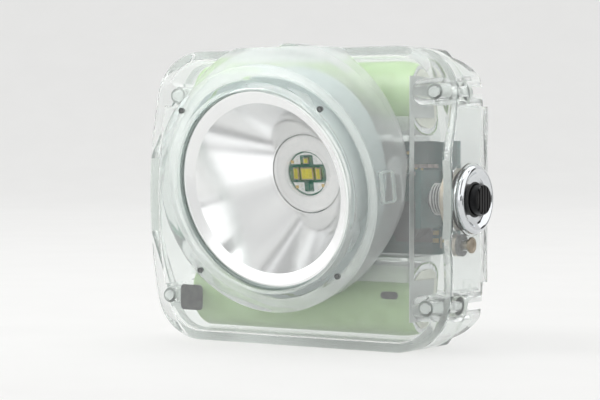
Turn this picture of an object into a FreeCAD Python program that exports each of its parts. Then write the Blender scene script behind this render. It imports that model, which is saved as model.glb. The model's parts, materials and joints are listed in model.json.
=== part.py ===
"""A cordless miner's cap lamp: a clear two-shell case with a tilted lamp barrel, two battery
cells, a driver board, a side push button and a steel helmet clip.

Frame: +X is the button side, -Y the front (lens side), +Z up. The origin lies on the flat
base face that the lamp stands on, so the whole lamp is above Z = 0. Lengths are millimetres.
"""
import FreeCAD, Part
import math
import operator
import os
import Sketcher
from FreeCAD import Placement, Rotation, Vector

DIMENSIONS = (
    # the case: two bowed shells with a stepped seam and a rubber gasket between them
    ("case_width", 89), ("case_height", 74), ("face_y", -14.5), ("back_y", 16.5),
    ("wall", 2.4), ("corner_radius", 13), ("side_radius", 126), ("front_edge_radius", 4.5),
    ("rear_edge_radius", 12), ("foot_radius", 10), ("brow_radius", 12),
    ("foot_y", 13.2), ("brow_y", 14.2), ("back_low", 22), ("back_high", 52),
    ("seam_low_y", -6), ("seam_mid_y", -9.6), ("seam_top_y", -1.5),
    ("seam_foot", 14), ("seam_waist", 27), ("seam_chest", 48), ("seam_brow", 64),
    ("seam_bend", 6), ("gasket_gap", 0.7), ("gasket_recess", 0.3),
    ("rib_radius", 7.3), ("rib_rise", 1.2), ("rib_setback", 0.8),
    # the four case screws, their bosses and brass inserts
    ("boss_x", 38), ("boss_z", 25.8), ("boss_radius", 3.2), ("pocket_radius", 2.8),
    ("pocket_wall", 1), ("lobe_inset", 1.1), ("lobe_x", 33), ("lobe_front", 2.5),
    ("lobe_low", 16.5), ("lobe_high", 59.5), ("seat_upper_y", 6), ("seat_lower_y", 2.4),
    ("seat_floor", 1.6),
    ("screw_radius", 1.25), ("screw_length", 14), ("head_radius", 2.25), ("head_height", 1.8),
    ("insert_radius", 1.9), ("insert_length", 4.2), ("insert_front", 0.4), ("screw_play", 0.1),
    # the lamp barrel on the tilted optical axis
    ("axis_z", 41), ("tilt", 11), ("barrel_radius", 30), ("barrel_bore", 27.8),
    ("barrel_end", 7), ("barrel_root", 8), ("flare_radius", 35.2), ("flare_front", 6),
    ("flare_back", -1.2), ("flare_wall", 2.1), ("pad_rise", 0.5), ("pad_width", 8),
    ("pad_from", 1), ("pad_to", 5.5),
    ("bezel_radius", 30.65), ("bezel_front", 12.6), ("bezel_bore", 25.6),
    ("skirt_radius", 27.6), ("skirt_end", 4.2), ("lip_radius", 24.7), ("lip_back", 11.6),
    ("lip_front", 12.1), ("rim_inner", 26.6), ("rim_round", 1.3), ("spanner_circle", 28.1),
    ("spanner_radius", 0.75), ("spanner_depth", 1.3),
    ("lens_radius", 25.4), ("lens_back", 10.2), ("lens_front", 11.6),
    ("seal_radius", 24.7), ("seal_section", 0.35), ("seal_round", 0.24),
    ("mouth_radius", 21.2), ("mouth_height", 8.5), ("flange_radius", 23.75),
    ("flange_height", 9.5), ("flange_edge", 25.2), ("flange_thickness", 0.8),
    ("throat_radius", 10.1), ("throat_height", -9.5), ("mirror_wall", 1),
    ("socket_end", -11.4), ("socket_wall", 0.5),
    ("carrier_outer", 27.3), ("carrier_neck", 25.4), ("carrier_inner", 24.3),
    ("carrier_step", 4), ("carrier_root", -8), ("carrier_inside", 2.5),
    ("collar_hole", 5.7), ("collar_top", -9.4), ("led_board_top", -10.2),
    ("led_board_radius", 9.9), ("led_length", 3.6), ("led_width", 3.1),
    ("led_height", 0.8), ("phosphor_side", 2.3), ("phosphor_height", 0.15), ("aux_offset", 3.3),
    ("aux_length", 1.6), ("aux_width", 3.1), ("aux_height", 0.6), ("aux_window", 0.15),
    ("window_edge", 0.2),
    ("pad_radius", 8.4), ("thermal_pad", 0.4), ("sink_flange", 1), ("sink_radius", 7.5),
    ("sink_end", -17.5), ("fin_gap", 0.8), ("fin_pitch", 2.4), ("fin_depth", 2.4),
    # the two cells and what holds them
    ("cell_radius", 8.95), ("sleeve_radius", 9.25), ("cell_half", 31.9), ("sleeve_half", 32.3),
    ("cell_nub", 2.6), ("nub_end", 32.4), ("lower_cell_z", 12.35), ("upper_cell_z", 61.65),
    ("insulator_inner", 3.2), ("insulator_thickness", 0.3), ("cradle_half", 32.2),
    ("cradle_play", 0.1), ("cradle_lip", 6), ("cradle_depth", 10), ("optic_clearance", 14.5),
    ("sleeve_lip", 1.4), ("tab_thickness", 0.2), ("tab_half", 3), ("tab_reach", 5),
    ("tab_foot_high", 44), ("tab_foot_low", 30), ("link_front", 9.3), ("link_width", 2),
    ("foam_front", 9.4), ("foam_thickness", 1.4), ("foam_from", 12), ("foam_to", 24),
    ("foam_low_z", 10.5), ("foam_high_z", 58), ("foam_height", 6),
    # the boards
    ("board_front", 6), ("board_thickness", 1.6), ("board_half", 36), ("board_low", 23),
    ("board_high", 51), ("guard_x", -35.6), ("guard_thickness", 1),
    ("guard_low", 26), ("guard_high", 48), ("guard_reach", 8),
    ("switch_board_low", 30), ("switch_board_high", 44), ("switch_board_reach", 6.5),
    ("chip_x", 17), ("chip_z", 36), ("chip_length", 6), ("chip_width", 5), ("chip_rise", 1.6),
    ("inductor_x", 25), ("inductor_z", 31), ("inductor_side", 10), ("coil_width", 4.5),
    ("coil_rise", 4.5),
    ("capacitor_x", 16), ("capacitor_pitch", 6), ("capacitor_z", 45),
    ("capacitor_radius", 2.3), ("capacitor_rise", 5),
    ("small_part_x", 25.6), ("small_part_z", 43), ("small_part_pitch", 1.9),
    ("small_part_length", 1.6), ("small_part_width", 0.9), ("small_part_rise", 0.6),
    ("connector_x", 23), ("connector_z", 32.4), ("connector_length", 6),
    ("connector_height", 5), ("connector_rise", 3.6),
    ("lead_radius", 0.5), ("lead_bend", 1.6), ("red_y", -4), ("red_from", 42), ("red_drop", -29),
    ("red_to", 33.3), ("black_y", -1), ("black_from", 38), ("black_drop", -31),
    ("black_to", 31.5), ("led_lead_run", 6), ("led_lead_play", 0.1), ("led_lead_out", 3),
    ("led_lead_up", 4),
    # the push button and the charging pin on the +X side
    ("button_y", -0.6), ("button_z", 37), ("seat_radius", 8.8), ("seat_rise", 0.3),
    ("seat_inner", 3), ("neck_radius", 5.6), ("neck_end", 4.9), ("neck_play", 0.15),
    ("ring_radius", 8.4), ("ring_front", 1.9), ("dish_radius", 6.8), ("dish_floor", 0.9),
    ("dish_rim", 0.6), ("ring_bore", 4.2), ("nut_radius", 7.4), ("nut_thickness", 1.7),
    ("cap_radius", 3.6), ("cap_front", 3.6), ("cap_flange", 4.9), ("flange_front", 5.2),
    ("flange_back", 6), ("boot_bore", 3.85), ("boot_radius", 6.7), ("boot_thickness", 0.4),
    ("boot_lip", 0.9), ("groove_width", 0.45), ("groove_pitch", 1.3), ("groove_depth", 0.45),
    ("switch_radius", 3), ("switch_front", 7.4), ("switch_back", 10.4),
    ("switch_play", 0.1), ("plunger_radius", 1.6),
    ("plunger_bore", 1.8), ("plunger_front", 6.1), ("plunger_back", 9), ("coil_radius", 3.75),
    ("coil_wire", 0.4), ("coil_turns", 4.5), ("coil_play", 0.05),
    ("pin_z", 26), ("pin_seat", 0.25), ("pin_head", 2), ("pin_rise", 0.7), ("pin_radius", 1.3),
    ("pin_length", 5.4), ("pin_gap", 0.6), ("pin_play", 0.15), ("pin_nut_radius", 2.7),
    ("pin_nut", 1.4),
    ("pin_seal", 0.8), ("strip_thickness", 0.4), ("strip_width", 2.8),
    # the helmet clip, bent from steel strip
    ("clip_width", 25), ("clip_thickness", 1.2), ("clip_gap", 5.2), ("clip_foot", 26),
    ("clip_top", 53.5), ("clip_bend", 3.6), ("blade_end", 21), ("tip_end", 16.5),
    ("tip_flare", 1.5), ("tip_corner", 5), ("clip_screw_x", 7.5),
    ("clip_screw_z", 39), ("clip_screw_radius", 1.45),
    ("clip_head", 2.7), ("clip_screw_length", 6), ("clip_access", 3.3), ("clip_boss", 4),
    ("clip_boss_front", 9.6), ("clip_insert", 2.1),
)

doc = FreeCAD.newDocument("cap_lamp")
sheet = doc.addObject("Spreadsheet::Sheet", "dims")
for row, (alias, value) in enumerate(DIMENSIONS, start=1):
    sheet.set(f"A{row}", alias)
    sheet.set(f"B{row}", str(value))
    sheet.setAlias(f"B{row}", alias)
doc.recompute()

nodes = []


# ---------------------------------------------------------------- sizes bound to the sheet
OPERATORS = {"+": operator.add, "-": operator.sub, "*": operator.mul, "/": operator.truediv}


class Size:
    """A length held both as a number and as the sheet expression that gives it."""

    def __init__(self, number, text):
        self.number = number
        self.text = text

    def __add__(self, other):
        return joined(self, "+", other)

    def __radd__(self, other):
        return joined(other, "+", self)

    def __sub__(self, other):
        return joined(self, "-", other)

    def __rsub__(self, other):
        return joined(other, "-", self)

    def __mul__(self, other):
        return joined(self, "*", other)

    def __rmul__(self, other):
        return joined(other, "*", self)

    def __truediv__(self, other):
        return joined(self, "/", other)

    def __neg__(self):
        return joined(0, "-", self)


def number(value):
    return value.number if isinstance(value, Size) else float(value)


def text(value):
    return value.text if isinstance(value, Size) else repr(float(value))


def joined(left, sign, right):
    return Size(OPERATORS[sign](number(left), number(right)), f"({text(left)} {sign} {text(right)})")


class Sizes:
    """Every alias of the sheet as a Size, such as dim.case_width."""

    def __getattr__(self, alias):
        return Size(float(sheet.get(alias)), f"dims.{alias}")


dim = Sizes()


def bind(obj, path, value):
    """Sets a property, and ties it to the sheet when the value comes from there."""
    if isinstance(value, Size):
        obj.setExpression(path, value.text)
    else:
        setattr(obj, path, value)


def place(obj, base, axis=(0, 0, 1), angle=0):
    obj.Placement = Placement(Vector(*map(number, base)), Rotation(Vector(*axis), number(angle)))
    for letter, value in zip("xyz", base):
        if isinstance(value, Size):
            obj.setExpression(f".Placement.Base.{letter}", value.text)
    if isinstance(angle, Size):
        obj.setExpression(".Placement.Rotation.Angle", angle.text)
    return obj


def on_optical_axis(obj):
    """Turns a piece made along +Z so that +Z looks forward and down through the lens."""
    return place(obj, (0, dim.face_y, dim.axis_z), (1, 0, 0), 90 + dim.tilt)


def on_button_axis(obj):
    """Turns a piece made along +Z so that +Z points out of the +X side at the button."""
    return place(obj, (dim.case_width / 2, dim.button_y, dim.button_z), (0, 1, 0), 90)


def on_pin_axis(obj):
    """Turns a piece made along +Z so that +Z points out of the +X side at the charging pin."""
    return place(obj, (dim.case_width / 2 - dim.pin_seat, dim.button_y, dim.pin_z), (0, 1, 0), 90)


def node(obj, name):
    obj.Label = name
    nodes.append(obj)
    return obj


# ---------------------------------------------------------------- primitives and booleans
def cylinder(radius, base, length, axis=(0, 0, 1), angle=0):
    obj = doc.addObject("Part::Cylinder", "cylinder")
    bind(obj, "Radius", radius)
    bind(obj, "Height", length)
    return place(obj, base, axis, angle)


def cylinder_back(radius, x, z, front, back):
    """A cylinder along +Y from front to back."""
    return cylinder(radius, (x, front, z), back - front, (1, 0, 0), -90)


def block(low, high):
    obj = doc.addObject("Part::Box", "block")
    for path, start, end in zip(("Length", "Width", "Height"), low, high):
        bind(obj, path, end - start)
    return place(obj, low)


def fuse(*pieces):
    obj = doc.addObject("Part::MultiFuse", "fuse")
    obj.Shapes = list(pieces)
    return obj


def common(*pieces):
    obj = doc.addObject("Part::MultiCommon", "common")
    obj.Shapes = list(pieces)
    return obj


def cut(base, *tools):
    obj = doc.addObject("Part::Cut", "cut")
    obj.Base = base
    obj.Tool = tools[0] if len(tools) == 1 else fuse(*tools)
    return obj


def group(*pieces):
    """Separate solids that share one node."""
    obj = doc.addObject("Part::Compound", "group")
    obj.Links = list(pieces)
    return obj


def rounded(base, radius, chosen):
    """Fillets the edges of a boolean that the test picks."""
    doc.recompute()
    fillet = doc.addObject("Part::Fillet", "rounded")
    fillet.Base = base
    fillet.Edges = [(index, number(radius), number(radius))
                    for index, edge in enumerate(base.Shape.Edges, start=1) if chosen(edge)]
    return fillet


# ---------------------------------------------------------------- sketched bodies
def origin_plane(body, role):
    return next(feature for feature in body.Origin.OriginFeatures if feature.Role == role)


def pin_point(sketch, geometry, end, x, y):
    """Ties one point of the sketch to its distances from the sketch's origin."""
    for kind, value, on_axis in (("DistanceX", x, -2), ("DistanceY", y, -1)):
        if abs(number(value)) < 1e-9:
            sketch.addConstraint(Sketcher.Constraint("PointOnObject", geometry, end, on_axis))
            continue
        index = sketch.addConstraint(Sketcher.Constraint(kind, -1, 1, geometry, end, number(value)))
        if isinstance(value, Size):
            sketch.setExpression(f"Constraints[{index}]", value.text)


def outline(body, role, corners):
    """A closed sketch through corners (x, y), or (x, y, radius) where a corner is rounded."""
    sketch = body.newObject("Sketcher::SketchObject", "outline")
    sketch.AttachmentSupport = [(origin_plane(body, role), "")]
    sketch.MapMode = "FlatFace"
    points = [Vector(number(corner[0]), number(corner[1]), 0) for corner in corners]
    radii = [corner[2] if len(corner) > 2 else 0 for corner in corners]
    count = len(points)
    entries, exits, turns = [], [], []
    for index, point in enumerate(points):
        before = (points[index - 1] - point).normalize()
        after = (points[(index + 1) % count] - point).normalize()
        reach = number(radii[index]) / math.tan(before.getAngle(after) / 2)
        entries.append(point + before * reach)
        exits.append(point + after * reach)
        turns.append(before.cross(after).z < 0)
    lines = [sketch.addGeometry(Part.LineSegment(exits[i], entries[(i + 1) % count]))
             for i in range(count)]
    for index, point in enumerate(points):
        arriving, leaving = lines[index - 1], lines[index]
        x, y = corners[index][:2]
        if not number(radii[index]):
            sketch.addConstraint(Sketcher.Constraint("Coincident", arriving, 2, leaving, 1))
            pin_point(sketch, leaving, 1, x, y)
            continue
        middle = (entries[index] + exits[index]) / 2 - point
        chord = (exits[index] - entries[index]).Length / 2
        radius = number(radii[index])
        centre = point + middle.normalize() * math.hypot(radius, (entries[index] - point).Length)
        first, last = (entries[index], exits[index]) if turns[index] else (exits[index], entries[index])
        angles = [math.atan2(end.y - centre.y, end.x - centre.x) for end in (first, last)]
        arc = sketch.addGeometry(Part.ArcOfCircle(
            Part.Circle(centre, Vector(0, 0, 1), radius), angles[0], angles[1]))
        start, end = (1, 2) if turns[index] else (2, 1)
        sketch.addConstraint(Sketcher.Constraint("Tangent", arriving, 2, arc, start))
        sketch.addConstraint(Sketcher.Constraint("Tangent", arc, end, leaving, 1))
        rounding = sketch.addConstraint(Sketcher.Constraint("Radius", arc, radius))
        if isinstance(radii[index], Size):
            sketch.setExpression(f"Constraints[{rounding}]", radii[index].text)
        corner = sketch.addGeometry(Part.Point(point), True)
        for line in (arriving, leaving):
            sketch.addConstraint(Sketcher.Constraint("PointOnObject", corner, 1, line))
        pin_point(sketch, corner, 1, x, y)
    return sketch


def turned(corners):
    """A body turned about its own +Z from a (radius, height) outline."""
    body = doc.addObject("PartDesign::Body", "turned")
    sketch = outline(body, "XZ_Plane", corners)
    turn = body.newObject("PartDesign::Revolution", "turn")
    turn.Profile = sketch
    turn.ReferenceAxis = (sketch, ["V_Axis"])
    turn.Angle = 360
    return body


def padded(role, corners, length, base=(0, 0, 0)):
    """A body padded from an outline on an origin plane: towards +X, -Y or +Z."""
    body = doc.addObject("PartDesign::Body", "padded")
    pad = body.newObject("PartDesign::Pad", "pad")
    pad.Profile = outline(body, role, corners)
    bind(pad, "Length", length)
    return place(body, base)


def tube(outer, inner, low, high):
    return turned([(inner, low), (outer, low), (outer, high), (inner, high)])


def side_pad(corners, half):
    """A body with the same side view (y, z) from X = -half to +half."""
    return padded("YZ_Plane", corners, half * 2, (-half, 0, 0))


def disc(radius, low, high):
    return turned([(0, low), (radius, low), (radius, high), (0, high)])


def cylinder_across(radius, z, low, high):
    """A cylinder along +X from low to high, on the cells' upright middle plane."""
    return cylinder(radius, (low, 0, z), high - low, (0, 1, 0), 90)


# ---------------------------------------------------------------- places used by several parts
MARGIN = 6          # how far a cutting tool runs past the solid
mid_z = dim.case_height / 2
half_width = dim.case_width / 2
inner_front = dim.face_y + dim.wall
signs = (-1, 1)
screw_places = [(side * dim.boss_x, mid_z + rise * dim.boss_z, seat)
                for rise, seat in ((1, dim.seat_upper_y), (-1, dim.seat_lower_y))
                for side in signs]
clip_places = [(side * dim.clip_screw_x, dim.clip_screw_z) for side in signs]


# ---------------------------------------------------------------- the case
def bowed_outline(body, inset):
    """The front view of the case: flat top and base, round corners and gently bowed sides."""
    sketch = body.newObject("Sketcher::SketchObject", "front_view")
    sketch.AttachmentSupport = [(origin_plane(body, "XZ_Plane"), "")]
    sketch.MapMode = "FlatFace"
    side = dim.side_radius - inset
    corner = dim.corner_radius - inset
    middle = half_width - dim.side_radius
    lift = number(mid_z - dim.corner_radius)
    reach = number(side - corner)
    shift = number(middle) + math.sqrt(reach ** 2 - lift ** 2)
    slope = math.asin(lift / reach)
    centre_z = number(mid_z)
    quarter = math.pi / 2

    def arc(x, z, radius, start, end):
        circle = Part.Circle(Vector(x, z, 0), Vector(0, 0, 1), number(radius))
        return sketch.addGeometry(Part.ArcOfCircle(circle, start, end))

    low, high = inset, dim.case_height - inset
    base = sketch.addGeometry(Part.LineSegment(Vector(-shift, number(low), 0),
                                               Vector(shift, number(low), 0)))
    chain = [base,
             arc(shift, centre_z - lift, corner, -quarter, -slope),
             arc(number(middle), centre_z, side, -slope, slope),
             arc(shift, centre_z + lift, corner, slope, quarter)]
    top = sketch.addGeometry(Part.LineSegment(Vector(shift, number(high), 0),
                                              Vector(-shift, number(high), 0)))
    chain += [top,
              arc(-shift, centre_z + lift, corner, quarter, math.pi - slope),
              arc(-number(middle), centre_z, side, math.pi - slope, math.pi + slope),
              arc(-shift, centre_z - lift, corner, math.pi + slope, 3 * quarter)]
    for first, second in zip(chain, chain[1:] + chain[:1]):
        sketch.addConstraint(Sketcher.Constraint("Tangent", first, 2, second, 1))
    for line, height in ((base, low), (top, high)):
        sketch.addConstraint(Sketcher.Constraint("Horizontal", line))
        if number(height):
            index = sketch.addConstraint(
                Sketcher.Constraint("DistanceY", -1, 1, line, 1, number(height)))
            sketch.setExpression(f"Constraints[{index}]", text(height))
        else:
            sketch.addConstraint(Sketcher.Constraint("PointOnObject", line, 1, -1))
    for place_in_chain, radius in ((1, corner), (2, side), (3, corner),
                                   (5, corner), (6, side), (7, corner)):
        index = sketch.addConstraint(
            Sketcher.Constraint("Radius", chain[place_in_chain], number(radius)))
        sketch.setExpression(f"Constraints[{index}]", text(radius))
    for place_in_chain, x in ((2, middle), (6, -middle)):
        pin_point(sketch, chain[place_in_chain], 3, x, mid_z)
    return sketch


def case_form(inset):
    """The whole case as one block, shrunk by an inset on every side."""
    front, back = dim.face_y + inset, dim.back_y - inset
    low, high = inset, dim.case_height - inset
    bowed = doc.addObject("PartDesign::Body", "front_form")
    pad = bowed.newObject("PartDesign::Pad", "pad")
    pad.Profile = bowed_outline(bowed, inset)
    bind(pad, "Length", back - front)
    place(bowed, (0, back, 0))
    side = side_pad([(front, low),
                     (dim.foot_y - inset, low, dim.foot_radius - inset),
                     (back, dim.back_low), (back, dim.back_high),
                     (dim.brow_y - inset, high, dim.brow_radius - inset),
                     (front, high)], half_width)
    half = half_width - inset
    plan = padded("XY_Plane", [(-half, front), (half, front),
                               (half, back, dim.rear_edge_radius - inset),
                               (-half, back, dim.rear_edge_radius - inset)],
                  high - low, (0, 0, low))
    face = number(front)
    return rounded(common(bowed, side, plan), dim.front_edge_radius - inset,
                   lambda edge: abs(edge.BoundBox.YMin - face) + abs(edge.BoundBox.YMax - face) < 0.01)


def seam_line(forward):
    """The seam's side view from below the base to above the top, moved forward."""
    return [(dim.seam_low_y - forward, -MARGIN),
            (dim.seam_low_y - forward, dim.seam_foot, dim.seam_bend),
            (dim.seam_mid_y - forward, dim.seam_waist, dim.seam_bend),
            (dim.seam_mid_y - forward, dim.seam_chest, dim.seam_bend),
            (dim.seam_top_y - forward, dim.seam_brow, dim.seam_bend),
            (dim.seam_top_y - forward, dim.case_height + MARGIN)]


zone_half = half_width + MARGIN
far_front = dim.face_y - dim.barrel_radius
far_back = dim.back_y + MARGIN
front_zone = side_pad(seam_line(dim.gasket_gap) + [(far_front, dim.case_height + MARGIN),
                                                   (far_front, -MARGIN)], zone_half)
gasket_zone = side_pad(seam_line(0) + seam_line(dim.gasket_gap)[::-1], zone_half)
rear_zone = side_pad(seam_line(0)[::-1] + [(far_back, -MARGIN),
                                           (far_back, dim.case_height + MARGIN)], zone_half)

outer_form = case_form(Size(0, "0"))
cavity = case_form(dim.wall)


def insert_front(seat):
    return seat - dim.screw_length + dim.insert_front


def screw_hole(x, z, seat, play):
    return cylinder_back(dim.screw_radius + play, x, z, seat - dim.screw_length - play, seat + play)


def front_shell():
    top_rib = cylinder_back(dim.rib_radius, 0, dim.case_height + dim.rib_rise - dim.rib_radius,
                            dim.face_y + dim.rib_setback, 0)
    shell = cut(common(fuse(outer_form, top_rib), front_zone), cavity)
    before_inside = block((-zone_half, far_front, -MARGIN),
                          (zone_half, inner_front, dim.case_height))

    def flared(offset):
        """The barrel, which widens towards the case, moved outwards by offset."""
        wide, narrow = dim.flare_radius + offset, dim.barrel_radius + offset
        return on_optical_axis(turned([
            (Size(0, "0"), -dim.barrel_root), (wide, -dim.barrel_root), (wide, dim.flare_back),
            (narrow, dim.flare_front), (narrow, dim.barrel_end), (Size(0, "0"), dim.barrel_end)]))

    barrel = common(flared(Size(0, "0")), before_inside)
    pad_reach = dim.flare_radius + dim.pad_rise
    side_pads = common(flared(dim.pad_rise), on_optical_axis(group(
        block((-pad_reach, -dim.pad_width / 2, dim.pad_from),
              (pad_reach, dim.pad_width / 2, dim.pad_to)))))
    hollow = on_optical_axis(turned([
        (Size(0, "0"), -dim.barrel_root), (dim.flare_radius - dim.flare_wall, -dim.barrel_root),
        (dim.flare_radius - dim.flare_wall, dim.flare_back),
        (dim.barrel_bore, dim.flare_front - dim.flare_wall / 2),
        (Size(0, "0"), dim.flare_front - dim.flare_wall / 2)]))
    bosses = common(fuse(*(cylinder_back(dim.boss_radius, x, z, dim.face_y + dim.wall / 2, 0)
                           for x, z, seat in screw_places)), outer_form, front_zone)
    bore = on_optical_axis(disc(dim.barrel_bore, -dim.barrel_root, dim.barrel_end + MARGIN))
    insert_holes = [cylinder_back(dim.insert_radius, x, z, insert_front(seat), 0)
                    for x, z, seat in screw_places]
    screw_holes = [screw_hole(x, z, seat, dim.screw_play) for x, z, seat in screw_places]
    node(cut(fuse(shell, barrel, side_pads, bosses), bore, hollow, *insert_holes, *screw_holes),
         "front_shell")


def stepped_corners():
    """What is taken off the rear corners, so that they sit lower than the middle of the case."""
    top = dim.case_height + MARGIN
    corners = []
    for low, high in ((Size(-MARGIN, str(-MARGIN)), dim.lobe_low), (dim.lobe_high, top)):
        corners.append(block((-zone_half, dim.lobe_front, low), (-dim.lobe_x, far_back, high)))
        corners.append(block((dim.lobe_x, dim.lobe_front, low), (zone_half, far_back, high)))
    return cut(fuse(*corners), case_form(dim.lobe_inset))


def rear_shell():
    form = cut(outer_form, stepped_corners())
    shell = cut(common(form, rear_zone), cavity)
    columns = []
    for x, z, seat in screw_places:
        columns.append(cylinder_back(dim.boss_radius, x, z, dim.face_y, seat))
        columns.append(cylinder_back(dim.pocket_radius + dim.pocket_wall, x, z,
                                     seat - dim.seat_floor, dim.back_y))
    columns = common(fuse(*columns), form, rear_zone)
    clip_bosses = [cylinder_back(dim.clip_boss, x, z, dim.clip_boss_front,
                                 dim.back_y - dim.wall / 2) for x, z in clip_places]
    seat = on_button_axis(disc(dim.seat_radius, -dim.seat_inner, dim.seat_rise))
    holes = [cylinder_back(dim.pocket_radius, x, z, seat_y, far_back)
             for x, z, seat_y in screw_places]
    holes += [screw_hole(x, z, seat_y, dim.screw_play) for x, z, seat_y in screw_places]
    holes += [cylinder_back(dim.clip_insert, x, z, dim.clip_boss_front - MARGIN / 2, far_back)
              for x, z in clip_places]
    holes.append(on_button_axis(disc(dim.neck_radius + dim.neck_play, -MARGIN, MARGIN)))
    holes.append(on_pin_axis(disc(dim.pin_radius + dim.pin_play, -MARGIN, MARGIN)))
    node(cut(fuse(shell, columns, seat, *clip_bosses), *holes), "rear_shell")


def seam_gasket():
    ring = cut(common(case_form(dim.gasket_recess), gasket_zone), cavity,
               *(screw_hole(x, z, seat, dim.screw_play * 4) for x, z, seat in screw_places))
    node(ring, "seam_gasket")


def hex_socket(radius, x, z, seat, height):
    socket = doc.addObject("Part::Prism", "socket")
    socket.Polygon = 6
    bind(socket, "Circumradius", radius)
    bind(socket, "Height", height)
    return place(socket, (x, seat, z), (1, 0, 0), -90)


def case_screws():
    screws, inserts = [], []
    for x, z, seat in screw_places:
        shank = cylinder_back(dim.screw_radius, x, z, seat - dim.screw_length, seat)
        head = cylinder_back(dim.head_radius, x, z, seat, seat + dim.head_height)
        socket = hex_socket(dim.head_radius / 2, x, z, seat + dim.head_height / 2, dim.head_height)
        screws.append(cut(fuse(shank, head), socket))
        front = insert_front(seat)
        inserts.append(cut(cylinder_back(dim.insert_radius, x, z, front, front + dim.insert_length),
                           cylinder_back(dim.screw_radius, x, z, front, front + dim.insert_length)))
    node(group(*screws), "case_screws")
    node(group(*inserts), "screw_inserts")


# ---------------------------------------------------------------- lens, bezel and reflector
def front_bezel():
    ring = turned([(dim.bezel_bore, dim.skirt_end), (dim.skirt_radius, dim.skirt_end),
                   (dim.skirt_radius, dim.barrel_end), (dim.bezel_radius, dim.barrel_end),
                   (dim.bezel_radius, dim.bezel_front, dim.rim_round),
                   (dim.rim_inner, dim.bezel_front), (dim.bezel_bore, dim.lip_front),
                   (dim.lip_radius, dim.lip_front), (dim.lip_radius, dim.lip_back),
                   (dim.bezel_bore, dim.lip_back)])
    diagonal = dim.spanner_circle * math.sqrt(0.5)
    holes = [cylinder(dim.spanner_radius, (x * diagonal, y * diagonal,
                                           dim.bezel_front - dim.spanner_depth), MARGIN)
             for x in signs for y in signs]
    node(on_optical_axis(cut(ring, *holes)), "front_bezel")


def front_lens():
    node(on_optical_axis(disc(dim.lens_radius, dim.lens_back, dim.lens_front)), "front_lens")


def lens_seal():
    low, high = dim.flange_height, dim.lens_back
    left, right = dim.seal_radius - dim.seal_section, dim.seal_radius + dim.seal_section
    bend = dim.seal_round
    node(on_optical_axis(turned([(left, low, bend), (right, low, bend),
                                 (right, high, bend), (left, high, bend)])), "lens_seal")


def reflector():
    under = dim.flange_height - dim.flange_thickness
    node(on_optical_axis(turned([
        (dim.throat_radius, dim.socket_end), (dim.throat_radius + dim.socket_wall, dim.socket_end),
        (dim.throat_radius + dim.mirror_wall, dim.throat_height),
        (dim.mouth_radius + dim.mirror_wall, dim.mouth_height - dim.flange_thickness),
        (dim.flange_radius + dim.socket_wall, under), (dim.flange_edge, under),
        (dim.flange_edge, dim.flange_height), (dim.flange_radius, dim.flange_height),
        (dim.mouth_radius, dim.mouth_height), (dim.throat_radius, dim.throat_height)])),
         "reflector")


def reflector_carrier():
    top = dim.flange_height - dim.flange_thickness
    sleeve = turned([(dim.carrier_inner, dim.carrier_root), (dim.carrier_outer, dim.carrier_root),
                     (dim.carrier_outer, dim.carrier_step), (dim.carrier_neck, dim.carrier_step),
                     (dim.carrier_neck, top), (dim.carrier_inner, top)])
    kept = block((-zone_half, far_front, -MARGIN),
                 (zone_half, dim.face_y + dim.carrier_inside, dim.case_height + MARGIN))
    node(common(on_optical_axis(sleeve), kept), "reflector_carrier")


def chip(x, y, low, length, width, height):
    """A small block centred on (x, y) that stands on the level low."""
    return block((x - length / 2, y - width / 2, low), (x + length / 2, y + width / 2, low + height))


def light_source():
    board_back = dim.socket_end
    node(on_optical_axis(tube(dim.led_board_radius, dim.collar_hole, dim.led_board_top,
                              dim.collar_top)), "led_collar")
    node(on_optical_axis(disc(dim.led_board_radius, board_back, dim.led_board_top)), "led_board")
    node(on_optical_axis(group(chip(0, 0, dim.led_board_top, dim.led_length, dim.led_width,
                                    dim.led_height))), "main_led_base")
    led_top = dim.led_board_top + dim.led_height
    node(on_optical_axis(group(chip(0, 0, led_top, dim.phosphor_side, dim.phosphor_side,
                                    dim.phosphor_height))), "main_led_phosphor")
    places = ((-dim.aux_offset, 0, dim.aux_width), (dim.aux_offset, 0, dim.aux_width),
              (0, dim.aux_offset, dim.aux_length))
    node(on_optical_axis(group(*(chip(x, y, dim.led_board_top, dim.aux_length, width,
                                      dim.aux_height) for x, y, width in places))), "aux_leds")
    aux_top = dim.led_board_top + dim.aux_height
    node(on_optical_axis(group(*(chip(x, y, aux_top, dim.aux_length - 2 * dim.window_edge,
                                      width - 2 * dim.window_edge, dim.aux_window)
                                 for x, y, width in places))), "aux_led_phosphors")
    pad_back = board_back - dim.thermal_pad
    node(on_optical_axis(disc(dim.pad_radius, pad_back, board_back)), "thermal_pad")
    flange_back = pad_back - dim.sink_flange
    sink = turned([(0, dim.sink_end), (dim.sink_radius, dim.sink_end),
                   (dim.sink_radius, flange_back), (dim.pad_radius, flange_back),
                   (dim.pad_radius, pad_back), (0, pad_back)])
    slots = [block((-dim.pad_radius, line * dim.fin_pitch - dim.fin_gap / 2,
                    dim.sink_end - MARGIN),
                   (dim.pad_radius, line * dim.fin_pitch + dim.fin_gap / 2,
                    dim.sink_end + dim.fin_depth)) for line in range(-2, 3)]
    node(on_optical_axis(cut(sink, *slots)), "heat_sink")


# ---------------------------------------------------------------- battery pack
def cell(name, z):
    can = cylinder_across(dim.cell_radius, z, -dim.cell_half, dim.cell_half)
    contacts = cylinder_across(dim.cell_nub, z, -dim.nub_end, dim.nub_end)
    node(fuse(can, contacts), f"{name}_cell")
    lip = cylinder_across(dim.cell_radius - dim.sleeve_lip, z, -half_width, half_width)
    hollow = cylinder_across(dim.cell_radius, z, -dim.cell_half, dim.cell_half)
    node(cut(cylinder_across(dim.sleeve_radius, z, -dim.sleeve_half, dim.sleeve_half),
             hollow, lip), f"{name}_cell_sleeve")


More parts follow.
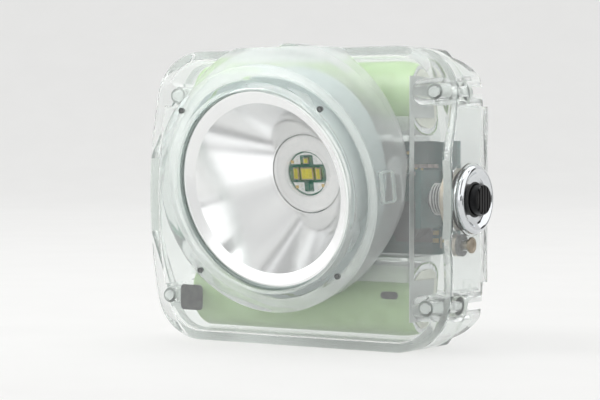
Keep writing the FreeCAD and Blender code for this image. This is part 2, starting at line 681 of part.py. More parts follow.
def cell_end_insulators():
    rings = []
    for z in (dim.lower_cell_z, dim.upper_cell_z):
        for low, high in ((-dim.cell_half - dim.insulator_thickness, -dim.cell_half),
                          (dim.cell_half, dim.cell_half + dim.insulator_thickness)):
            rings.append(cut(cylinder_across(dim.cell_radius - dim.sleeve_lip, z, low, high),
                             cylinder_across(dim.insulator_inner, z, low, high)))
    node(group(*rings), "cell_end_insulators")


def cradle(name, z, low, high, *clearances):
    saddle = cylinder_across(dim.sleeve_radius + dim.cradle_play, z, -half_width, half_width)
    bar = block((-dim.cradle_half, -dim.cradle_depth, low), (dim.cradle_half, dim.cradle_depth, high))
    node(cut(bar, saddle, *clearances), name)


def battery_pack():
    cell("upper", dim.upper_cell_z)
    cell("lower", dim.lower_cell_z)
    cell_end_insulators()
    cradle("cradle_lower", dim.lower_cell_z, dim.board_low - dim.cradle_lip, dim.board_low)
    optics = on_optical_axis(disc(dim.optic_clearance, dim.sink_end - MARGIN, 0))
    cradle("cradle_upper", dim.upper_cell_z, dim.board_high, dim.board_high + dim.cradle_lip, optics)


def nickel_tabs():
    face = -dim.nub_end
    guard_face = dim.guard_x + dim.guard_thickness
    for name, low, high, foot in (
            ("nickel_tab_positive", dim.tab_foot_high, dim.upper_cell_z + dim.tab_reach,
             dim.tab_foot_high),
            ("nickel_tab_negative", dim.lower_cell_z - dim.tab_reach, dim.tab_foot_low,
             dim.tab_foot_low - dim.tab_thickness)):
        strip = block((face - dim.tab_thickness, -dim.tab_half, low), (face, dim.tab_half, high))
        flange = block((guard_face, -dim.tab_half, foot),
                       (face, dim.tab_half, foot + dim.tab_thickness))
        node(fuse(strip, flange), name)
    near, far = dim.tab_half, -dim.link_front
    inside = -dim.link_front + dim.link_width
    link = padded("YZ_Plane", [
        (far, dim.lower_cell_z - dim.tab_reach), (near, dim.lower_cell_z - dim.tab_reach),
        (near, dim.lower_cell_z + dim.tab_reach), (inside, dim.lower_cell_z + dim.tab_reach),
        (inside, dim.upper_cell_z - dim.tab_reach), (near, dim.upper_cell_z - dim.tab_reach),
        (near, dim.upper_cell_z + dim.tab_reach), (far, dim.upper_cell_z + dim.tab_reach)],
                  dim.tab_thickness, (dim.nub_end, 0, 0))
    node(link, "nickel_tab_link")


def foam_pads():
    """Four foam strips that press the cells against the cradles from behind."""
    back = dim.foam_front + dim.foam_thickness
    pieces = []
    for low in (dim.foam_low_z, dim.foam_high_z):
        for start, end in ((-dim.foam_to, -dim.foam_from), (dim.foam_from, dim.foam_to)):
            pieces.append(block((start, dim.foam_front, low), (end, back, low + dim.foam_height)))
    node(group(*pieces), "foam_pads")


# ---------------------------------------------------------------- boards and wiring
def on_board(x, z, length, height, rise):
    """A block centred on (x, z) that stands on the front face of the driver board."""
    return block((x - length / 2, dim.board_front - rise, z - height / 2),
                 (x + length / 2, dim.board_front, z + height / 2))


def boards():
    back = dim.board_front + dim.board_thickness
    node(block((-dim.board_half, dim.board_front, dim.board_low),
               (dim.board_half, back, dim.board_high)), "driver_board")
    guard_face = dim.guard_x + dim.guard_thickness
    node(block((dim.guard_x, -dim.guard_reach, dim.guard_low),
               (guard_face, dim.board_front, dim.guard_high)), "protection_board")
    switch_face = half_width - dim.switch_back
    node(block((switch_face - dim.board_thickness, -dim.switch_board_reach, dim.switch_board_low),
               (switch_face, dim.board_front, dim.switch_board_high)), "switch_board")


def board_parts():
    node(on_board(dim.chip_x, dim.chip_z, dim.chip_length, dim.chip_width, dim.chip_rise),
         "driver_chip")
    node(on_board(-dim.chip_x, dim.chip_z, dim.chip_width, dim.chip_width, dim.chip_rise),
         "charger_chip")
    core_front = dim.board_front - dim.coil_rise
    node(fuse(on_board(dim.inductor_x, dim.inductor_z, dim.inductor_side, dim.inductor_side,
                       dim.strip_thickness * 2),
              cylinder_back(dim.coil_width, dim.inductor_x, dim.inductor_z,
                            core_front, dim.board_front)), "inductor")
    node(group(*(cylinder_back(dim.capacitor_radius, x, dim.capacitor_z,
                               dim.board_front - dim.capacitor_rise, dim.board_front)
                 for x in (dim.capacitor_x, dim.capacitor_x + dim.capacitor_pitch))), "capacitors")
    node(group(*(on_board(side * (dim.small_part_x + column * dim.small_part_pitch),
                          dim.small_part_z + line * dim.small_part_pitch, dim.small_part_length,
                          dim.small_part_width, dim.small_part_rise)
                 for side in signs for column in range(4) for line in range(2))),
         "small_chip_parts")
    node(on_board(-dim.connector_x, dim.connector_z, dim.connector_length, dim.connector_height,
                  dim.connector_rise), "lead_connector")


def lead(name, points):
    """A wire of straight runs joined by tangent arcs, through points given as (x, y, z)."""
    points = [Vector(*map(number, point)) for point in points]
    bend, radius = number(dim.lead_bend), number(dim.lead_radius)
    edges = []
    start = points[0]
    for before, corner, after in zip(points, points[1:], points[2:]):
        inward = (before - corner).normalize()
        outward = (after - corner).normalize()
        half_angle = inward.getAngle(outward) / 2
        reach = bend / math.tan(half_angle)
        arc_start, arc_end = corner + inward * reach, corner + outward * reach
        middle_line = (inward + outward).normalize()
        arc_middle = corner + middle_line * (bend / math.sin(half_angle) - bend)
        edges.append(Part.LineSegment(start, arc_start).toShape())
        edges.append(Part.Arc(arc_start, arc_middle, arc_end).toShape())
        start = arc_end
    edges.append(Part.LineSegment(start, points[-1]).toShape())
    route = Part.Wire(edges)
    section = Part.Wire(Part.Circle(points[0], points[1] - points[0], radius).toShape())
    wire = doc.addObject("Part::Feature", "wire")
    wire.Shape = route.makePipeShell([section], True, True)
    node(wire, name)


def leads():
    guard_face = dim.guard_x + dim.guard_thickness
    connector_face = dim.board_front - dim.connector_rise
    for name, y, start_z, drop_x, end_z in (
            ("battery_lead_red", dim.red_y, dim.red_from, dim.red_drop, dim.red_to),
            ("battery_lead_black", dim.black_y, dim.black_from, dim.black_drop, dim.black_to)):
        lead(name, [(guard_face, y, start_z), (drop_x, y, start_z), (drop_x, y, end_z),
                    (-dim.connector_x, y, end_z), (-dim.connector_x, connector_face, end_z)])
    tilt, back = math.radians(number(dim.tilt)), number(dim.socket_end)
    board_y = number(dim.face_y) - back * math.cos(tilt)
    board_z = number(dim.axis_z) - back * math.sin(tilt)
    run_y = board_y + number(dim.led_lead_run) * math.cos(tilt)
    run_z = board_z + number(dim.led_lead_run) * math.sin(tilt)
    reach = dim.led_board_radius - dim.lead_radius - dim.led_lead_play
    for name, side in (("led_lead_red", 1), ("led_lead_black", -1)):
        lead(name, [(side * reach, board_y, board_z), (side * reach, run_y, run_z),
                    (side * (reach + dim.led_lead_out), dim.board_front - dim.lead_radius,
                     board_z + number(dim.led_lead_up))])


# ---------------------------------------------------------------- push button
def button():
    node(on_button_axis(turned([
        (dim.ring_bore, -dim.neck_end), (dim.neck_radius, -dim.neck_end),
        (dim.neck_radius, dim.seat_rise), (dim.ring_radius, dim.seat_rise),
        (dim.ring_radius, dim.ring_front, dim.dish_rim / 2),
        (dim.ring_radius - dim.dish_rim, dim.ring_front), (dim.dish_radius, dim.dish_floor),
        (dim.ring_bore, dim.dish_floor)])), "button_ring")
    node(on_button_axis(tube(dim.nut_radius, dim.neck_radius, -dim.seat_inner - dim.nut_thickness,
                             -dim.seat_inner)), "button_ring_nut")
    lip = dim.boot_bore + dim.dish_rim
    node(on_button_axis(turned([
        (dim.boot_bore, dim.dish_floor), (dim.boot_radius, dim.dish_floor),
        (dim.boot_radius, dim.dish_floor + dim.boot_thickness),
        (lip, dim.dish_floor + dim.boot_thickness), (lip, dim.dish_floor + dim.boot_lip),
        (dim.boot_bore, dim.dish_floor + dim.boot_lip)])), "button_boot")
    blank = turned([(0, -dim.flange_back), (dim.cap_flange, -dim.flange_back),
                    (dim.cap_flange, -dim.flange_front), (dim.cap_radius, -dim.flange_front),
                    (dim.cap_radius, dim.cap_front, dim.groove_depth), (0, dim.cap_front)])
    grooves = [block((-dim.cap_flange, y * dim.groove_pitch - dim.groove_width / 2,
                      dim.cap_front - dim.groove_depth),
                     (dim.cap_flange, y * dim.groove_pitch + dim.groove_width / 2,
                      dim.cap_front + MARGIN)) for y in range(-2, 3)]
    node(on_button_axis(cut(blank, *grooves)), "button_cap")
    node(on_button_axis(turned([
        (0, -dim.switch_back), (dim.switch_radius, -dim.switch_back),
        (dim.switch_radius, -dim.switch_front), (dim.plunger_bore, -dim.switch_front),
        (dim.plunger_bore, dim.switch_play - dim.switch_back),
        (0, dim.switch_play - dim.switch_back)])), "push_switch_body")
    node(on_button_axis(disc(dim.plunger_radius, -dim.plunger_back, -dim.plunger_front)),
         "switch_plunger")


def button_spring():
    low = dim.coil_wire / 2 + dim.coil_play - dim.switch_back
    high = -dim.flange_back - dim.coil_wire / 2 - dim.coil_play
    helix = doc.addObject("Part::Helix", "coil_path")
    bind(helix, "Radius", dim.coil_radius)
    bind(helix, "Height", high - low)
    bind(helix, "Pitch", (high - low) / dim.coil_turns)
    place(helix, (0, 0, low))
    wire = doc.addObject("Part::Circle", "coil_section")
    bind(wire, "Radius", dim.coil_wire / 2)
    place(wire, (dim.coil_radius, 0, low), (1, 0, 0), 90)
    coil = doc.addObject("Part::Sweep", "coil")
    coil.Sections = [wire]
    coil.Spine = (helix, [])
    coil.Solid = True
    coil.Frenet = True
    node(on_button_axis(coil), "button_spring")


def charging_pin():
    node(on_pin_axis(turned([
        (0, -dim.pin_length), (dim.pin_radius, -dim.pin_length), (dim.pin_radius, 0),
        (dim.pin_head, 0), (dim.pin_head, dim.pin_rise, dim.pin_rise / 3), (0, dim.pin_rise)])),
         "charge_pin")
    seal_front = -dim.wall - dim.pin_gap
    seal_back = seal_front - dim.pin_seal
    node(on_pin_axis(tube(dim.pin_nut_radius, dim.pin_radius, seal_back, seal_front)),
         "charge_pin_seal")
    node(on_pin_axis(tube(dim.pin_nut_radius, dim.pin_radius, seal_back - dim.pin_nut, seal_back)),
         "charge_pin_nut")
    end_x = half_width - dim.pin_seat - dim.pin_length
    low, high = dim.pin_z - dim.strip_width / 2, dim.pin_z + dim.strip_width / 2
    node(fuse(block((end_x - dim.strip_thickness, dim.button_y - dim.strip_width / 2, low),
                    (end_x, dim.board_front, high)),
              block((dim.board_half - dim.strip_width, dim.board_front - dim.strip_thickness, low),
                    (end_x, dim.board_front, high))), "contact_strip")


# ---------------------------------------------------------------- helmet clip
def helmet_clip():
    back, thick = dim.back_y, dim.clip_thickness
    blade_front = back + thick + dim.clip_gap
    blade_back = blade_front + thick
    bend, inner_bend = dim.clip_bend, dim.clip_bend - thick
    strip = side_pad([
        (back, dim.clip_foot), (back, dim.clip_top, bend), (blade_back, dim.clip_top, bend),
        (blade_back, dim.blade_end), (blade_back + dim.tip_flare, dim.tip_end),
        (blade_front + dim.tip_flare, dim.tip_end), (blade_front, dim.blade_end),
        (blade_front, dim.clip_top - thick, inner_bend),
        (back + thick, dim.clip_top - thick, inner_bend), (back + thick, dim.clip_foot)],
                     dim.clip_width / 2)
    heads, openings, screws, inserts = [], [], [], []
    for x, z in clip_places:
        for pieces in (heads, screws):
            head = doc.addObject("Part::Cone", "head")
            bind(head, "Radius1", dim.clip_screw_radius)
            bind(head, "Radius2", dim.clip_head)
            bind(head, "Height", thick)
            place(head, (x, back, z), (1, 0, 0), -90)
            pieces.append(head)
        openings.append(cylinder_back(dim.clip_access, x, z, blade_front - thick,
                                      blade_back + thick))
        front = back - dim.clip_screw_length
        shank = cylinder_back(dim.clip_screw_radius, x, z, front, back)
        socket = hex_socket(dim.clip_screw_radius, x, z, back + thick / 2, thick)
        screws[-1] = cut(fuse(shank, screws[-1]), socket)
        inserts.append(cut(cylinder_back(dim.clip_insert, x, z, front, back),
                           cylinder_back(dim.clip_screw_radius, x, z, front, back)))
    half = dim.clip_width / 2
    front_view = padded("XZ_Plane", [
        (-half, dim.tip_end, dim.tip_corner), (half, dim.tip_end, dim.tip_corner),
        (half, dim.clip_top), (-half, dim.clip_top)], dim.clip_width, (0, back + dim.clip_width, 0))
    clip = cut(common(strip, front_view), *heads, *openings)
    node(clip, "helmet_clip")
    node(group(*screws), "clip_screws")
    node(group(*inserts), "clip_inserts")


# ---------------------------------------------------------------- the whole lamp
front_shell()
rear_shell()
seam_gasket()
case_screws()
front_bezel()
front_lens()
lens_seal()
reflector()
reflector_carrier()
light_source()
battery_pack()
nickel_tabs()
foam_pads()
boards()
board_parts()
leads()
button()
button_spring()
charging_pin()
helmet_clip()
doc.recompute()

failed = [obj.Name for obj in doc.Objects if "Invalid" in obj.State or "Error" in obj.State]
failed += [obj.Label for obj in nodes if obj.Shape.isNull() or not obj.Shape.isValid()
           or not obj.Shape.Solids]
if failed:
    raise RuntimeError("these objects failed: " + ", ".join(failed))

os.makedirs("parts", exist_ok=True)
for obj in nodes:
    obj.Shape.exportStep(f"parts/{obj.Label}.step")
    box = obj.Shape.BoundBox
    print(f"{obj.Label:22s} solids {len(obj.Shape.Solids)} volume {obj.Shape.Volume:9.1f}"
          f"  x {box.XMin:6.1f} {box.XMax:6.1f}  y {box.YMin:6.1f} {box.YMax:6.1f}"
          f"  z {box.ZMin:6.1f} {box.ZMax:6.1f}")
print(len(nodes), "nodes")
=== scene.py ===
"""Looks for the miner's cap lamp: clear milky case, satin reflector, green battery cells."""
import json
import math
import random

import bmesh
import bpy
from mathutils import Matrix, Vector
from mathutils.bvhtree import BVHTree


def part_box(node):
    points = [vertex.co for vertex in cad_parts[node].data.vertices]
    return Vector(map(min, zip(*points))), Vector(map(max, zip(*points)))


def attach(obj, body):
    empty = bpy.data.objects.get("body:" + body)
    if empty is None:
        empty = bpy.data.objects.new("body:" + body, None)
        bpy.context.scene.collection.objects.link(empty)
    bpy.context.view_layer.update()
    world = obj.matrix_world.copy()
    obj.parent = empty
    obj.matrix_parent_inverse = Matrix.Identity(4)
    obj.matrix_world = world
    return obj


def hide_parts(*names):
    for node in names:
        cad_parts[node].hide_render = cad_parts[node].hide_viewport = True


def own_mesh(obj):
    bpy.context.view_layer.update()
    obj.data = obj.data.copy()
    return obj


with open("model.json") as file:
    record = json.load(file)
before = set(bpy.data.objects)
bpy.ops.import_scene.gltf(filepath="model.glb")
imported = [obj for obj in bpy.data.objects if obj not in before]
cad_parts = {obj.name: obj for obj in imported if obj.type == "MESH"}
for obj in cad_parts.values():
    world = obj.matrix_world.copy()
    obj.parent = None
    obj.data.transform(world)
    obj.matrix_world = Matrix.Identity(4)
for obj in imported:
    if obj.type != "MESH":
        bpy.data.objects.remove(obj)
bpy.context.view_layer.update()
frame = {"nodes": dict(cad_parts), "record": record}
nodes = frame["nodes"]
MM = 0.001
FULL_TURN = 2 * math.pi


def middle(node):
    low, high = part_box(node)
    return (low + high) / 2


# ---------------------------------------------------------------- places read from the frame
LENS_MIDDLE = 10.9            # mm along the optical axis from the face plane to the lens's middle
RIGHT, UP, FORWARD = Vector((1, 0, 0)), Vector((0, 0, 1)), Vector((0, -1, 0))
lens_centre = middle("front_lens")
optical_axis = (lens_centre - middle("led_board")).normalized()
face_low, face_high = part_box("front_shell")
board_low, board_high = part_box("driver_board")


def axes_matrix(origin, right, up, out):
    """A place whose x, y, z run right, up and out."""
    return Matrix.Translation(origin) @ Matrix((right, up, out)).transposed().to_4x4()


button_middle = middle("button_cap")
optical = axes_matrix(lens_centre - optical_axis * LENS_MIDDLE * MM,
                      RIGHT, optical_axis.cross(RIGHT), optical_axis)
button = axes_matrix(Vector((face_high.x, button_middle.y, button_middle.z)),
                     Vector((0, 1, 0)), UP, RIGHT)
IDENTITY = Matrix.Identity(4)


# ---------------------------------------------------------------- materials
def linear(display_hex):
    """A linear colour from a display colour written as six hex digits."""
    channels = (int(display_hex[i:i + 2], 16) / 255 for i in (0, 2, 4))
    return tuple(c / 12.92 if c <= 0.04045 else ((c + 0.055) / 1.055) ** 2.4 for c in channels)


def new_material(name, **settings):
    """A Principled material; settings are socket names with underscores for spaces."""
    made = bpy.data.materials.new(name)
    made.use_nodes = True
    shader = made.node_tree.nodes["Principled BSDF"]
    for key, value in settings.items():
        socket = shader.inputs[key.replace("_", " ")]
        is_colour = isinstance(value, tuple) and len(value) == 3
        socket.default_value = (*value, 1) if is_colour else value
    return made, made.node_tree, shader


def noise_node(tree, scale, detail=3.0, stretch=(1, 1, 1)):
    """Noise in object coordinates, stretched along the axes."""
    mapping = tree.nodes.new("ShaderNodeMapping")
    mapping.inputs["Scale"].default_value = stretch
    field = tree.nodes.new("ShaderNodeTexNoise")
    field.inputs["Scale"].default_value = scale
    field.inputs["Detail"].default_value = detail
    coordinates = tree.nodes.new("ShaderNodeTexCoord")
    tree.links.new(coordinates.outputs["Object"], mapping.inputs["Vector"])
    tree.links.new(mapping.outputs["Vector"], field.inputs["Vector"])
    return field.outputs["Fac"]


def ramp(tree, source, stops):
    """Maps a 0..1 field to colours given as two (position, colour) stops."""
    node = tree.nodes.new("ShaderNodeValToRGB")
    for element, (place, colour) in zip(node.color_ramp.elements, stops):
        element.position = place
        element.color = (*colour, 1)
    tree.links.new(source, node.inputs["Fac"])
    return node.outputs["Color"]


def spread(tree, source, low, high):
    """Maps a 0..1 field to numbers from low to high."""
    node = tree.nodes.new("ShaderNodeMapRange")
    node.inputs["To Min"].default_value = low
    node.inputs["To Max"].default_value = high
    tree.links.new(source, node.inputs["Value"])
    return node.outputs["Result"]


def bump(tree, shader, source, strength, distance):
    """Raises the surface with a 0..1 field, by a distance in metres."""
    node = tree.nodes.new("ShaderNodeBump")
    node.inputs["Strength"].default_value = strength
    node.inputs["Distance"].default_value = distance
    tree.links.new(source, node.inputs["Height"])
    tree.links.new(node.outputs["Normal"], shader.inputs["Normal"])


NOISE_LOW, NOISE_HIGH = 0.35, 0.65      # most of the noise lies between these
GRAIN_FINENESS = 3                      # how much finer the grain is than the colour's noise


def surfaced(name, low, high, rough, scale=900, grain=0.15, depth=0.03 * MM, stretch=(1, 1, 1),
             **settings):
    """A material whose colour, roughness and fine surface vary with noise."""
    made, tree, shader = new_material(name, **settings)
    field = noise_node(tree, scale, stretch=stretch)
    tree.links.new(ramp(tree, field, ((NOISE_LOW, low), (NOISE_HIGH, high))),
                   shader.inputs["Base Color"])
    tree.links.new(spread(tree, field, rough[0], rough[1]), shader.inputs["Roughness"])
    bump(tree, shader, noise_node(tree, scale * GRAIN_FINENESS, stretch=stretch), grain, depth)
    return made


WALL_WAVES, WALL_DETAIL, WALL_DEPTH = 120, 2.0, 0.4 * MM


def clear_plastic(name, tint, rough, index, clearness, wave=0.004, **settings):
    """Moulded plastic, clear or milky, with the faint waviness of a moulded wall."""
    made, tree, shader = new_material(name, Base_Color=tint, IOR=index,
                                      Transmission_Weight=clearness, **settings)
    field = noise_node(tree, WALL_WAVES, WALL_DETAIL)
    tree.links.new(spread(tree, field, rough[0], rough[1]), shader.inputs["Roughness"])
    bump(tree, shader, field, wave, WALL_DEPTH)
    return made


# one material for each slot in the record
materials = {
    "clear_shell": clear_plastic("clear_shell", (0.965, 0.98, 0.972), (0.07, 0.11), 1.1, 0.895),
    "lens_glass": clear_plastic("lens_glass", (0.99, 1.0, 0.995), (0.0, 0.01), 1.06, 1.0, 0.0,
                                Alpha=0.12),
    "gasket_rubber": surfaced("gasket_rubber", linear("8a9692"), linear("9aa5a1"), (0.4, 0.5)),
    "mirror_coat": surfaced("mirror_coat", (0.9, 0.905, 0.905), (0.93, 0.935, 0.935), (0.13, 0.15),
                            60, 0.01, Metallic=1.0),
    "white_plastic": surfaced("white_plastic", (0.84, 0.85, 0.84), (0.89, 0.89, 0.88),
                              (0.35, 0.45)),
    "frosted_plastic": surfaced("frosted_plastic", (0.82, 0.87, 0.85), (0.87, 0.91, 0.89),
                                (0.35, 0.45), 400, 0.05, Transmission_Weight=0.6, IOR=1.15),
    "board_green": surfaced("board_green", linear("2b5f4c"), linear("3a7560"), (0.3, 0.45), 700),
    "board_dark": surfaced("board_dark", linear("02403d"), linear("08504c"), (0.3, 0.45), 500),
    "led_ceramic": surfaced("led_ceramic", linear("a08f8a"), linear("b9aaa2"), (0.4, 0.5)),
    "phosphor": surfaced("phosphor", linear("c9bf3e"), linear("dcd25a"), (0.35, 0.5), 2500),
    "thermal_grey": surfaced("thermal_grey", (0.4, 0.42, 0.46), (0.46, 0.48, 0.52), (0.7, 0.8)),
    "aluminium": surfaced("aluminium", (0.72, 0.73, 0.74), (0.8, 0.81, 0.82), (0.25, 0.4), 300,
                          0.3, stretch=(1, 1, 12), Metallic=1.0),
    "cell_steel": surfaced("cell_steel", (0.62, 0.63, 0.64), (0.72, 0.73, 0.74), (0.2, 0.35), 300,
                           Metallic=1.0),
    "cell_sleeve": surfaced("cell_sleeve", linear("829c6c"), linear("8fa97a"), (0.3, 0.4), 200),
    "insulator_paper": surfaced("insulator_paper", (0.6, 0.62, 0.54), (0.68, 0.69, 0.62),
                                (0.8, 0.9)),
    "nickel": surfaced("nickel", (0.74, 0.73, 0.71), (0.82, 0.81, 0.79), (0.3, 0.42), 400,
                       Metallic=1.0),
    "foam": surfaced("foam", (0.5, 0.51, 0.5), (0.6, 0.61, 0.6), (0.9, 1.0), 2500, 0.8, 0.0002),
    "component_black": surfaced("component_black", (0.02, 0.02, 0.022), (0.04, 0.04, 0.045),
                                (0.4, 0.55)),
    "capacitor_can": surfaced("capacitor_can", (0.68, 0.69, 0.7), (0.76, 0.77, 0.78), (0.25, 0.35),
                              300, Metallic=1.0),
    "lead_red": surfaced("lead_red", linear("b3261e"), linear("c4362c"), (0.35, 0.5)),
    "lead_black": surfaced("lead_black", (0.02, 0.02, 0.02), (0.035, 0.035, 0.035), (0.35, 0.5)),
    "chrome": surfaced("chrome", (0.68, 0.7, 0.72), (0.76, 0.78, 0.8), (0.05, 0.1), 200, 0.05,
                       Metallic=1.0),
    "button_black": surfaced("button_black", (0.002, 0.002, 0.0025), (0.004, 0.004, 0.005),
                             (0.3, 0.38), 300, Specular_IOR_Level=0.3),
    "boot_rubber": surfaced("boot_rubber", (0.015, 0.016, 0.016), (0.03, 0.03, 0.03), (0.5, 0.65)),
    "brass": surfaced("brass", linear("9a9082"), linear("b0a697"), (0.3, 0.45), 500, Metallic=1.0),
    "spring_steel": surfaced("spring_steel", (0.5, 0.5, 0.5), (0.65, 0.65, 0.65), (0.25, 0.35),
                             Metallic=1.0),
    "clip_steel": surfaced("clip_steel", (0.66, 0.67, 0.68), (0.78, 0.79, 0.8), (0.28, 0.4), 500,
                           0.35, stretch=(1, 14, 14), Metallic=1.0),
    "screw_steel": surfaced("screw_steel", (0.7, 0.7, 0.71), (0.8, 0.8, 0.81), (0.25, 0.38),
                            Metallic=1.0),
}

# finishes that a slot doesn't have
milky_clear = clear_plastic("milky_clear", (0.955, 0.975, 0.965), (0.1, 0.14), 1.1, 0.8)
rear_clear = clear_plastic("rear_clear", (0.96, 0.98, 0.972), (0.07, 0.11), 1.18, 0.86)
seal_edge = clear_plastic("seal_edge", (0.99, 0.995, 0.99), (0.04, 0.06), 1.01, 1.0)
frosted_shell = surfaced("frosted_shell", (0.85, 0.875, 0.865), (0.88, 0.9, 0.89), (0.2, 0.28),
                         400, 0.02, Transmission_Weight=0.72, IOR=1.1)
# the carrier's frosted plastic, darker and tinted teal: painted shade of the barrel's lower side
carrier_frost_painted_shade = surfaced("carrier_frost_painted_shade", (0.5, 0.6, 0.6), (0.56, 0.65, 0.65), (0.35, 0.45),
                         400, 0.05, Transmission_Weight=0.3, IOR=1.12)
print_grey = surfaced("print_grey", linear("868b8a"), linear("9ca1a0"), (0.6, 0.7), 500)
dull_nickel = surfaced("dull_nickel", (0.44, 0.46, 0.45), (0.5, 0.52, 0.51), (0.5, 0.6), 400,
                       Metallic=1.0)
# dark grey for the spanner holes: painted shade
hole_painted_shade = surfaced("hole_painted_shade", linear("484b4b"), linear("5a5e5d"), (0.6, 0.7), 500)
gold_pad = surfaced("gold_pad", linear("b59a55"), linear("cbb06a"), (0.25, 0.35), Metallic=1.0)
board_trace = surfaced("board_trace", linear("2c4a4a"), linear("375858"), (0.35, 0.5), 600)

slot_of = {part["node"]: part["material_slot"] for part in frame["record"]["subparts"]}
for name, obj in nodes.items():
    for slot in obj.material_slots:
        slot.material = materials[slot_of[name]]
for name in ("case_screws", "screw_inserts", "cradle_lower", "cradle_upper"):
    nodes[name].material_slots[0].material = milky_clear
# the carrier's darker teal finish is painted shade
nodes["reflector_carrier"].material_slots[0].material = carrier_frost_painted_shade
nodes["nickel_tab_link"].material_slots[0].material = dull_nickel
nodes["rear_shell"].material_slots[0].material = rear_clear
for name in ("rear_shell", "front_lens"):
    nodes[name].visible_shadow = False


# ---------------------------------------------------------------- shapes
ON_AXIS = 1e-6                          # mm: a radius below this is a point on the axis
SHARP_ANGLE = math.radians(30)          # edges that turn by more than this stay sharp
FINE_TURNS = 256                        # steps round the largest turned pieces
PULL = 0.49                             # the most of a side that one corner's rounding takes


def rounded(corners, steps=4):
    """A closed outline from (a, b) or (a, b, radius) corners, with those radii smoothed."""
    points = []
    for i, corner in enumerate(corners):
        here = Vector(corner[:2])
        if len(corner) < 3:
            points.append(here)
            continue
        before = Vector(corners[i - 1][:2]) - here
        after = Vector(corners[(i + 1) % len(corners)][:2]) - here
        start = here + before.normalized() * min(corner[2], before.length * PULL)
        end = here + after.normalized() * min(corner[2], after.length * PULL)
        for step in range(steps + 1):
            t = step / steps
            points.append(start * (1 - t) ** 2 + here * 2 * t * (1 - t) + end * t * t)
    return points


def rectangle(x, y, width, height, corner=0.2):
    """A rounded rectangle round (x, y)."""
    w, h = width / 2, height / 2
    return rounded([(x - w, y - h, corner), (x + w, y - h, corner), (x + w, y + h, corner),
                    (x - w, y + h, corner)])


def circle(x, y, radius, points=24):
    return [Vector((x + radius * math.cos(FULL_TURN * i / points),
                    y + radius * math.sin(FULL_TURN * i / points))) for i in range(points)]


def add_lathe(mesh, outline, turns=192, material=0, place=IDENTITY):
    """Turns a closed (radius, height) outline in mm about z; a point on z is one vertex."""
    rings = []
    for radius, height in outline:
        ring = []
        for k in range(turns if radius > ON_AXIS else 1):
            angle = FULL_TURN * k / turns
            ring.append(mesh.verts.new(place @ Vector((radius * math.cos(angle),
                                                       radius * math.sin(angle), height)) * MM))
        rings.append(ring)
    for i, ring in enumerate(rings):
        other = rings[(i + 1) % len(rings)]
        if len(ring) == len(other) == 1:
            continue
        for k in range(turns):
            corners = (ring[k % len(ring)], ring[(k + 1) % len(ring)],
                       other[(k + 1) % len(other)], other[k % len(other)])
            mesh.faces.new(list(dict.fromkeys(corners))).material_index = material


def add_prism(mesh, outline, low, high, bevel=0.0, material=0, place=IDENTITY):
    """A prism with softened ends, from an outline of (x, y) points."""
    centre = sum(outline, Vector((0, 0))) / len(outline)
    reach = [max(abs(p[i] - centre[i]) for p in outline) for i in (0, 1)]
    keep = [1 - bevel / r for r in reach]
    levels = ([(low, keep), (low + bevel, (1, 1)), (high - bevel, (1, 1)), (high, keep)]
              if bevel else [(low, (1, 1)), (high, (1, 1))])
    rings = [[mesh.verts.new(place @ Vector((centre.x + (p.x - centre.x) * scale[0],
                                             centre.y + (p.y - centre.y) * scale[1], height)) * MM)
              for p in outline] for height, scale in levels]
    faces = [mesh.faces.new(list(reversed(rings[0]))), mesh.faces.new(rings[-1])]
    for lower, upper in zip(rings, rings[1:]):
        for k in range(len(outline)):
            j = (k + 1) % len(outline)
            faces.append(mesh.faces.new((lower[k], lower[j], upper[j], upper[k])))
    for face in faces:
        face.material_index = material


def piece(name, mesh, slot, place=IDENTITY, stands_for=(), extra=()):
    """Makes an object of the mesh, puts it in place and lets it ride on the case."""
    bmesh.ops.recalc_face_normals(mesh, faces=mesh.faces)
    data = bpy.data.meshes.new(name)
    mesh.to_mesh(data)
    mesh.free()
    data.shade_smooth()
    data.set_sharp_from_angle(angle=SHARP_ANGLE)
    for material in (materials[slot], *extra):
        data.materials.append(material)
    obj = bpy.data.objects.new(name, data)
    bpy.context.scene.collection.objects.link(obj)
    obj.matrix_world = place
    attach(obj, "case")
    if stands_for:
        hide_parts(*stands_for)
    return obj


# ---------------------------------------------------------------- copies with two finishes
def two_finishes(name, node, finishes, second):
    """A copy of a CAD node, whose faces take the second finish where second(face, mesh) says so."""
    data = nodes[node].data.copy()
    data.name = name
    data.materials.clear()
    for material in finishes:
        data.materials.append(material)
    for face in data.polygons:
        face.material_index = int(second(face, data.vertices))
    copy = bpy.data.objects.new(name, data)
    bpy.context.scene.collection.objects.link(copy)
    copy.visible_shadow = False
    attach(copy, "case")
    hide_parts(node)
    return copy


def front_cover():
    """The clear front half, whose barrel is frosted inside and out."""
    to_axis = optical.inverted()
    barrel_reach, flat_front = 36, 0.995    # mm from the optical axis; the flat face's normal

    def on_barrel(face, vertices):
        return abs(face.normal.y) < flat_front and all(
            math.hypot(*(to_axis @ vertices[i].co / MM).xy) < barrel_reach
            for i in face.vertices)
    two_finishes("front_cover", "front_shell", (materials["clear_shell"], frosted_shell), on_barrel)


def seam_seal():
    """The seal between the halves: it shows as a line outside and is clear across the wall."""
    centre = middle("seam_gasket")
    lowest_line, edge_on = face_low.z + 3 * MM, 0.5

    def outside(face, _vertices):
        outwards = Vector((face.center.x - centre.x, 0, face.center.z - centre.z))
        return (abs(face.normal.y) < edge_on and face.normal.dot(outwards) > 0
                and face.center.z > lowest_line)
    two_finishes("seam_seal", "seam_gasket", (seal_edge, materials["gasket_rubber"]), outside)


